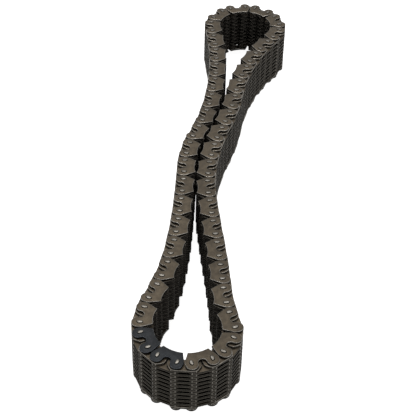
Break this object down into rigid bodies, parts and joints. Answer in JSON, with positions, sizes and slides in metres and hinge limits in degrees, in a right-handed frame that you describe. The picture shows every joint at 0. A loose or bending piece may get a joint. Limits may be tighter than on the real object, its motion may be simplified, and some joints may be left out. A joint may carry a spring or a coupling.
{
  "type": "silent chain",
  "caption": "Endless inverted-tooth silent chain with rocker pins and outer guide plates, lying on its side as a loop with a narrow waist.",
  "frame": {"origin": "centre of the loop's outline, on the plane of the lower pin ends", "axes": "+Z along the pins, away from the surface that the chain lies on; +Y along the loop, from the near bend with the blued plates to the far bend; +X to the right of +Y seen from above"},
  "size_m": [0.0922, 0.3736, 0.0356],
  "materials": {
    "chain_steel": "oil-browned hardened steel, satin",
    "blued_steel": "blued hardened steel, satin"
  },
  "bodies": {
    "guide_link_01": {"guide_link_01": "chain_steel", "blued_plate_1": "blued_steel"},
    "tooth_link_02": {"tooth_link_02": "chain_steel"},
    "guide_link_03": {"guide_link_03": "chain_steel", "blued_plate_2": "blued_steel"},
    "tooth_link_04": {"tooth_link_04": "chain_steel"},
    "guide_link_05": {"guide_link_05": "chain_steel"},
    "tooth_link_06": {"tooth_link_06": "chain_steel"},
    "guide_link_07": {"guide_link_07": "chain_steel"},
    "tooth_link_08": {"tooth_link_08": "chain_steel"},
    "double_link_09": {"double_link_09": "chain_steel"},
    "double_link_10": {"double_link_10": "chain_steel"},
    "double_link_11": {"double_link_11": "chain_steel"},
    "double_link_12": {"double_link_12": "chain_steel"},
    "double_link_13": {"double_link_13": "chain_steel"},
    "double_link_14": {"double_link_14": "chain_steel"},
    "double_link_15": {"double_link_15": "chain_steel"},
    "double_link_16": {"double_link_16": "chain_steel"},
    "double_link_17": {"double_link_17": "chain_steel"},
    "double_link_18": {"double_link_18": "chain_steel"},
    "double_link_19": {"double_link_19": "chain_steel"},
    "double_link_20": {"double_link_20": "chain_steel"},
    "double_link_21": {"double_link_21": "chain_steel"},
    "guide_link_22": {"guide_link_22": "chain_steel"},
    "tooth_link_23": {"tooth_link_23": "chain_steel"},
    "guide_link_24": {"guide_link_24": "chain_steel"},
    "tooth_link_25": {"tooth_link_25": "chain_steel"},
    "guide_link_26": {"guide_link_26": "chain_steel"},
    "tooth_link_27": {"tooth_link_27": "chain_steel"},
    "guide_link_28": {"guide_link_28": "chain_steel"},
    "tooth_link_29": {"tooth_link_29": "chain_steel"},
    "guide_link_30": {"guide_link_30": "chain_steel"},
    "tooth_link_31": {"tooth_link_31": "chain_steel"},
    "guide_link_32": {"guide_link_32": "chain_steel"},
    "tooth_link_33": {"tooth_link_33": "chain_steel"},
    "guide_link_34": {"guide_link_34": "chain_steel"},
    "tooth_link_35": {"tooth_link_35": "chain_steel"},
    "guide_link_36": {"guide_link_36": "chain_steel"},
    "tooth_link_37": {"tooth_link_37": "chain_steel"},
    "double_link_38": {"double_link_38": "chain_steel"},
    "double_link_39": {"double_link_39": "chain_steel"},
    "double_link_40": {"double_link_40": "chain_steel"},
    "double_link_41": {"double_link_41": "chain_steel"},
    "double_link_42": {"double_link_42": "chain_steel"},
    "double_link_43": {"double_link_43": "chain_steel"},
    "double_link_44": {"double_link_44": "chain_steel"},
    "double_link_45": {"double_link_45": "chain_steel"},
    "double_link_46": {"double_link_46": "chain_steel"},
    "double_link_47": {"double_link_47": "chain_steel"},
    "double_link_48": {"double_link_48": "chain_steel"},
    "double_link_49": {"double_link_49": "chain_steel"},
    "double_link_50": {"double_link_50": "chain_steel"},
    "guide_link_51": {"guide_link_51": "chain_steel"},
    "tooth_link_52": {"tooth_link_52": "chain_steel"},
    "guide_link_53": {"guide_link_53": "chain_steel"},
    "tooth_link_54": {"tooth_link_54": "chain_steel"},
    "guide_link_55": {"guide_link_55": "chain_steel"},
    "tooth_link_56": {"tooth_link_56": "chain_steel"},
    "guide_link_57": {"guide_link_57": "chain_steel"},
    "tooth_link_58": {"tooth_link_58": "chain_steel"}
  },
  "joints": [
    {"name": "pivot_01", "type": "hinge", "parent": "tooth_link_02", "child": "guide_link_01", "pos_m": [-0.0291, -0.17781, 0], "axis": [0, 0, -1], "range_deg": [-0.02, 2.66]},
    {"name": "pivot_02", "type": "hinge", "parent": "guide_link_03", "child": "tooth_link_02", "pos_m": [-0.03591, -0.17116, 0], "axis": [0, 0, -1], "range_deg": [-0.03, 3.05]},
    {"name": "pivot_03", "type": "hinge", "parent": "tooth_link_04", "child": "guide_link_03", "pos_m": [-0.03986, -0.16249, 0], "axis": [0, 0, -1], "range_deg": [-0.04, 4.34]},
    {"name": "pivot_04", "type": "hinge", "parent": "guide_link_05", "child": "tooth_link_04", "pos_m": [-0.04113, -0.15305, 0], "axis": [0, 0, -1], "range_deg": [-0.05, 5.9]},
    {"name": "pivot_05", "type": "hinge", "parent": "tooth_link_06", "child": "guide_link_05", "pos_m": [-0.03963, -0.14365, 0], "axis": [0, 0, -1], "range_deg": [-1.75, 0.02]},
    {"name": "pivot_06", "type": "hinge", "parent": "guide_link_07", "child": "tooth_link_06", "pos_m": [-0.03723, -0.13443, 0], "axis": [0, 0, -1], "range_deg": [-1.75, 0.02]},
    {"name": "pivot_07", "type": "hinge", "parent": "tooth_link_08", "child": "guide_link_07", "pos_m": [-0.03397, -0.12548, 0], "axis": [0, 0, -1], "range_deg": [-1.76, 0.02]},
    {"name": "pivot_08", "type": "hinge", "parent": "double_link_09", "child": "tooth_link_08", "pos_m": [-0.03121, -0.11636, 0], "axis": [0, 0, -1], "range_deg": [-1.97, 0.02]},
    {"name": "pivot_09", "type": "hinge", "parent": "double_link_10", "child": "double_link_09", "pos_m": [-0.02727, -0.09773, 0], "axis": [0, 0, -1], "range_deg": [-3.01, 0.03]},
    {"name": "pivot_10", "type": "hinge", "parent": "double_link_11", "child": "double_link_10", "pos_m": [-0.02514, -0.0788, 0], "axis": [0, 0, -1], "range_deg": [-5.31, 0.04]},
    {"name": "pivot_11", "type": "hinge", "parent": "double_link_12", "child": "double_link_11", "pos_m": [-0.02383, -0.0598, 0], "axis": [0, 0, -1], "range_deg": [-4.79, 0.04]},
    {"name": "pivot_12", "type": "hinge", "parent": "double_link_13", "child": "double_link_12", "pos_m": [-0.02323, -0.04076, 0], "axis": [0, 0, -1], "range_deg": [-1.76, 0.02]},
    {"name": "pivot_13", "type": "hinge", "parent": "double_link_14", "child": "double_link_13", "pos_m": [-0.02296, -0.02171, 0], "axis": [0, 0, -1], "range_deg": [-1.76, 0.02]},
    {"name": "pivot_14", "type": "hinge", "parent": "double_link_15", "child": "double_link_14", "pos_m": [-0.02219, -0.00269, 0], "axis": [0, 0, -1], "range_deg": [-0.07, 8.92]},
    {"name": "pivot_15", "type": "hinge", "parent": "double_link_16", "child": "double_link_15", "pos_m": [-0.01846, 0.01597, 0], "axis": [0, 0, -1], "range_deg": [-0.08, 9.49]},
    {"name": "pivot_16", "type": "hinge", "parent": "double_link_17", "child": "double_link_16", "pos_m": [-0.01295, 0.0342, 0], "axis": [0, 0, -1], "range_deg": [-5.98, 0.05]},
    {"name": "pivot_17", "type": "hinge", "parent": "double_link_18", "child": "double_link_17", "pos_m": [-0.00905, 0.05285, 0], "axis": [0, 0, -1], "range_deg": [-5.87, 0.05]},
    {"name": "pivot_18", "type": "hinge", "parent": "double_link_19", "child": "double_link_18", "pos_m": [-0.00667, 0.07175, 0], "axis": [0, 0, -1], "range_deg": [-3.22, 0.03]},
    {"name": "pivot_19", "type": "hinge", "parent": "double_link_20", "child": "double_link_19", "pos_m": [-0.00544, 0.09075, 0], "axis": [0, 0, -1], "range_deg": [-2.7, 0.03]},
    {"name": "pivot_20", "type": "hinge", "parent": "double_link_21", "child": "double_link_20", "pos_m": [-0.00542, 0.1098, 0], "axis": [0, 0, -1], "range_deg": [-3.39, 0.03]},
    {"name": "pivot_21", "type": "hinge", "parent": "guide_link_22", "child": "double_link_21", "pos_m": [-0.00673, 0.1288, 0], "axis": [0, 0, -1], "range_deg": [-3.2, 0.03]},
    {"name": "pivot_22", "type": "hinge", "parent": "tooth_link_23", "child": "guide_link_22", "pos_m": [-0.00788, 0.13826, 0], "axis": [0, 0, -1], "range_deg": [-1.82, 0.02]},
    {"name": "pivot_23", "type": "hinge", "parent": "guide_link_24", "child": "tooth_link_23", "pos_m": [-0.00911, 0.1477, 0], "axis": [0, 0, -1], "range_deg": [-1.76, 0.02]},
    {"name": "pivot_24", "type": "hinge", "parent": "tooth_link_25", "child": "guide_link_24", "pos_m": [-0.01043, 0.15714, 0], "axis": [0, 0, -1], "range_deg": [-0.04, 4.8]},
    {"name": "pivot_25", "type": "hinge", "parent": "guide_link_26", "child": "tooth_link_25", "pos_m": [-0.00825, 0.16641, 0], "axis": [0, 0, -1], "range_deg": [-0.03, 3.79]},
    {"name": "pivot_26", "type": "hinge", "parent": "tooth_link_27", "child": "guide_link_26", "pos_m": [-0.00286, 0.17427, 0], "axis": [0, 0, -1], "range_deg": [-0.03, 3.37]},
    {"name": "pivot_27", "type": "hinge", "parent": "guide_link_28", "child": "tooth_link_27", "pos_m": [0.005, 0.17965, 0], "axis": [0, 0, -1], "range_deg": [-0.03, 3.95]},
    {"name": "pivot_28", "type": "hinge", "parent": "guide_link_28", "child": "tooth_link_29", "pos_m": [0.01427, 0.18182, 0], "axis": [0, 0, 1], "range_deg": [-0.04, 4.86]},
    {"name": "pivot_29", "type": "hinge", "parent": "tooth_link_29", "child": "guide_link_30", "pos_m": [0.0237, 0.18051, 0], "axis": [0, 0, 1], "range_deg": [-0.04, 4.49]},
    {"name": "pivot_30", "type": "hinge", "parent": "guide_link_30", "child": "tooth_link_31", "pos_m": [0.03202, 0.17587, 0], "axis": [0, 0, 1], "range_deg": [-0.02, 1.75]},
    {"name": "pivot_31", "type": "hinge", "parent": "tooth_link_31", "child": "guide_link_32", "pos_m": [0.0381, 0.16854, 0], "axis": [0, 0, 1], "range_deg": [-0.02, 1.74]},
    {"name": "pivot_32", "type": "hinge", "parent": "guide_link_32", "child": "tooth_link_33", "pos_m": [0.04113, 0.15951, 0], "axis": [0, 0, 1], "range_deg": [-0.02, 1.73]},
    {"name": "pivot_33", "type": "hinge", "parent": "tooth_link_33", "child": "guide_link_34", "pos_m": [0.04068, 0.14999, 0], "axis": [0, 0, 1], "range_deg": [-0.02, 1.73]},
    {"name": "pivot_34", "type": "hinge", "parent": "guide_link_34", "child": "tooth_link_35", "pos_m": [0.03683, 0.14128, 0], "axis": [0, 0, 1], "range_deg": [-0.02, 1.73]},
    {"name": "pivot_35", "type": "hinge", "parent": "tooth_link_35", "child": "guide_link_36", "pos_m": [0.03174, 0.13323, 0], "axis": [0, 0, 1], "range_deg": [-5.51, 0.05]},
    {"name": "pivot_36", "type": "hinge", "parent": "guide_link_36", "child": "tooth_link_37", "pos_m": [0.02711, 0.1249, 0], "axis": [0, 0, 1], "range_deg": [-3.03, 0.03]},
    {"name": "pivot_37", "type": "hinge", "parent": "tooth_link_37", "child": "double_link_38", "pos_m": [0.02298, 0.11632, 0], "axis": [0, 0, 1], "range_deg": [-1.82, 0.02]},
    {"name": "pivot_38", "type": "hinge", "parent": "double_link_38", "child": "double_link_39", "pos_m": [0.01621, 0.09852, 0], "axis": [0, 0, 1], "range_deg": [-4.02, 0.04]},
    {"name": "pivot_39", "type": "hinge", "parent": "double_link_39", "child": "double_link_40", "pos_m": [0.0114, 0.0801, 0], "axis": [0, 0, 1], "range_deg": [-4.03, 0.04]},
    {"name": "pivot_40", "type": "hinge", "parent": "double_link_40", "child": "double_link_41", "pos_m": [0.00857, 0.06127, 0], "axis": [0, 0, 1], "range_deg": [-0.02, 1.8]},
    {"name": "pivot_41", "type": "hinge", "parent": "double_link_41", "child": "double_link_42", "pos_m": [0.00502, 0.04255, 0], "axis": [0, 0, 1], "range_deg": [-0.05, 6.19]},
    {"name": "pivot_42", "type": "hinge", "parent": "double_link_42", "child": "double_link_43", "pos_m": [-0.00012, 0.02421, 0], "axis": [0, 0, 1], "range_deg": [-0.02, 1.76]},
    {"name": "pivot_43", "type": "hinge", "parent": "double_link_43", "child": "double_link_44", "pos_m": [-0.00443, 0.00566, 0], "axis": [0, 0, 1], "range_deg": [-4.09, 0.04]},
    {"name": "pivot_44", "type": "hinge", "parent": "double_link_44", "child": "double_link_45", "pos_m": [-0.00708, -0.0132, 0], "axis": [0, 0, 1], "range_deg": [-4.94, 0.04]},
    {"name": "pivot_45", "type": "hinge", "parent": "double_link_45", "child": "double_link_46", "pos_m": [-0.00756, -0.03223, 0], "axis": [0, 0, 1], "range_deg": [-5.88, 0.05]},
    {"name": "pivot_46", "type": "hinge", "parent": "double_link_46", "child": "double_link_47", "pos_m": [-0.00569, -0.05118, 0], "axis": [0, 0, 1], "range_deg": [-3.21, 0.03]},
    {"name": "pivot_47", "type": "hinge", "parent": "double_link_47", "child": "double_link_48", "pos_m": [-0.00309, -0.07005, 0], "axis": [0, 0, 1], "range_deg": [-0.02, 1.76]},
    {"name": "pivot_48", "type": "hinge", "parent": "double_link_48", "child": "double_link_49", "pos_m": [-0.00031, -0.0889, 0], "axis": [0, 0, 1], "range_deg": [-0.02, 1.76]},
    {"name": "pivot_49", "type": "hinge", "parent": "double_link_49", "child": "double_link_50", "pos_m": [0.00217, -0.10779, 0], "axis": [0, 0, 1], "range_deg": [-0.02, 1.76]},
    {"name": "pivot_50", "type": "hinge", "parent": "double_link_50", "child": "guide_link_51", "pos_m": [0.00418, -0.12673, 0], "axis": [0, 0, 1], "range_deg": [-3.55, 0.03]},
    {"name": "pivot_51", "type": "hinge", "parent": "guide_link_51", "child": "tooth_link_52", "pos_m": [0.00575, -0.13612, 0], "axis": [0, 0, 1], "range_deg": [-4.02, 0.04]},
    {"name": "pivot_52", "type": "hinge", "parent": "tooth_link_52", "child": "guide_link_53", "pos_m": [0.00793, -0.14539, 0], "axis": [0, 0, 1], "range_deg": [-4.64, 0.04]},
    {"name": "pivot_53", "type": "hinge", "parent": "guide_link_53", "child": "tooth_link_54", "pos_m": [0.01073, -0.1545, 0], "axis": [0, 0, 1], "range_deg": [-0.02, 1.75]},
    {"name": "pivot_54", "type": "hinge", "parent": "tooth_link_54", "child": "guide_link_55", "pos_m": [0.00983, -0.16398, 0], "axis": [0, 0, 1], "range_deg": [-0.02, 1.75]},
    {"name": "pivot_55", "type": "hinge", "parent": "guide_link_55", "child": "tooth_link_56", "pos_m": [0.00537, -0.1724, 0], "axis": [0, 0, 1], "range_deg": [-0.03, 3.27]},
    {"name": "pivot_56", "type": "hinge", "parent": "tooth_link_56", "child": "guide_link_57", "pos_m": [-0.00183, -0.17863, 0], "axis": [0, 0, 1], "range_deg": [-0.04, 4.58]},
    {"name": "pivot_57", "type": "hinge", "parent": "guide_link_57", "child": "tooth_link_58", "pos_m": [-0.01081, -0.18182, 0], "axis": [0, 0, 1], "range_deg": [-0.04, 4.27]}
  ],
  "couplings": [
    {"joint": "pivot_02", "follows": "pivot_01", "ratio": 1.1213},
    {"joint": "pivot_03", "follows": "pivot_01", "ratio": 1.5994},
    {"joint": "pivot_04", "follows": "pivot_01", "ratio": 2.1729},
    {"joint": "pivot_05", "follows": "pivot_01", "ratio": -0.6436},
    {"joint": "pivot_06", "follows": "pivot_01", "ratio": -0.64471},
    {"joint": "pivot_07", "follows": "pivot_01", "ratio": -0.64644},
    {"joint": "pivot_08", "follows": "pivot_01", "ratio": -0.72497},
    {"joint": "pivot_09", "follows": "pivot_01", "ratio": -1.1082},
    {"joint": "pivot_10", "follows": "pivot_01", "ratio": -1.9547},
    {"joint": "pivot_11", "follows": "pivot_01", "ratio": -1.7623},
    {"joint": "pivot_12", "follows": "pivot_01", "ratio": -0.64651},
    {"joint": "pivot_13", "follows": "pivot_01", "ratio": -0.64658},
    {"joint": "pivot_14", "follows": "pivot_01", "ratio": 3.2842},
    {"joint": "pivot_15", "follows": "pivot_01", "ratio": 3.4962},
    {"joint": "pivot_16", "follows": "pivot_01", "ratio": -2.203},
    {"joint": "pivot_17", "follows": "pivot_01", "ratio": -2.1617},
    {"joint": "pivot_18", "follows": "pivot_01", "ratio": -1.1844},
    {"joint": "pivot_19", "follows": "pivot_01", "ratio": -0.99455},
    {"joint": "pivot_20", "follows": "pivot_01", "ratio": -1.2478},
    {"joint": "pivot_21", "follows": "pivot_01", "ratio": -1.1766},
    {"joint": "pivot_22", "follows": "pivot_01", "ratio": -0.67042},
    {"joint": "pivot_23", "follows": "pivot_01", "ratio": -0.64642},
    {"joint": "pivot_24", "follows": "pivot_01", "ratio": 1.7679},
    {"joint": "pivot_25", "follows": "pivot_01", "ratio": 1.3935},
    {"joint": "pivot_26", "follows": "pivot_01", "ratio": 1.2392},
    {"joint": "pivot_27", "follows": "pivot_01", "ratio": 1.4536},
    {"joint": "pivot_28", "follows": "pivot_01", "ratio": 1.7898},
    {"joint": "pivot_29", "follows": "pivot_01", "ratio": 1.6539},
    {"joint": "pivot_30", "follows": "pivot_01", "ratio": 0.64343},
    {"joint": "pivot_31", "follows": "pivot_01", "ratio": 0.63898},
    {"joint": "pivot_32", "follows": "pivot_01", "ratio": 0.63527},
    {"joint": "pivot_33", "follows": "pivot_01", "ratio": 0.63409},
    {"joint": "pivot_34", "follows": "pivot_01", "ratio": 0.63732},
    {"joint": "pivot_35", "follows": "pivot_01", "ratio": -2.0307},
    {"joint": "pivot_36", "follows": "pivot_01", "ratio": -1.1147},
    {"joint": "pivot_37", "follows": "pivot_01", "ratio": -0.67072},
    {"joint": "pivot_38", "follows": "pivot_01", "ratio": -1.4782},
    {"joint": "pivot_39", "follows": "pivot_01", "ratio": -1.4836},
    {"joint": "pivot_40", "follows": "pivot_01", "ratio": 0.65982},
    {"joint": "pivot_41", "follows": "pivot_01", "ratio": 2.2796},
    {"joint": "pivot_42", "follows": "pivot_01", "ratio": 0.64644},
    {"joint": "pivot_43", "follows": "pivot_01", "ratio": -1.5064},
    {"joint": "pivot_44", "follows": "pivot_01", "ratio": -1.8197},
    {"joint": "pivot_45", "follows": "pivot_01", "ratio": -2.164},
    {"joint": "pivot_46", "follows": "pivot_01", "ratio": -1.1825},
    {"joint": "pivot_47", "follows": "pivot_01", "ratio": 0.64597},
    {"joint": "pivot_48", "follows": "pivot_01", "ratio": 0.64601},
    {"joint": "pivot_49", "follows": "pivot_01", "ratio": 0.64619},
    {"joint": "pivot_50", "follows": "pivot_01", "ratio": -1.3067},
    {"joint": "pivot_51", "follows": "pivot_01", "ratio": -1.4799},
    {"joint": "pivot_52", "follows": "pivot_01", "ratio": -1.7073},
    {"joint": "pivot_53", "follows": "pivot_01", "ratio": 0.64373},
    {"joint": "pivot_54", "follows": "pivot_01", "ratio": 0.64461},
    {"joint": "pivot_55", "follows": "pivot_01", "ratio": 1.204},
    {"joint": "pivot_56", "follows": "pivot_01", "ratio": 1.6877},
    {"joint": "pivot_57", "follows": "pivot_01", "ratio": 1.5718}
  ]
}
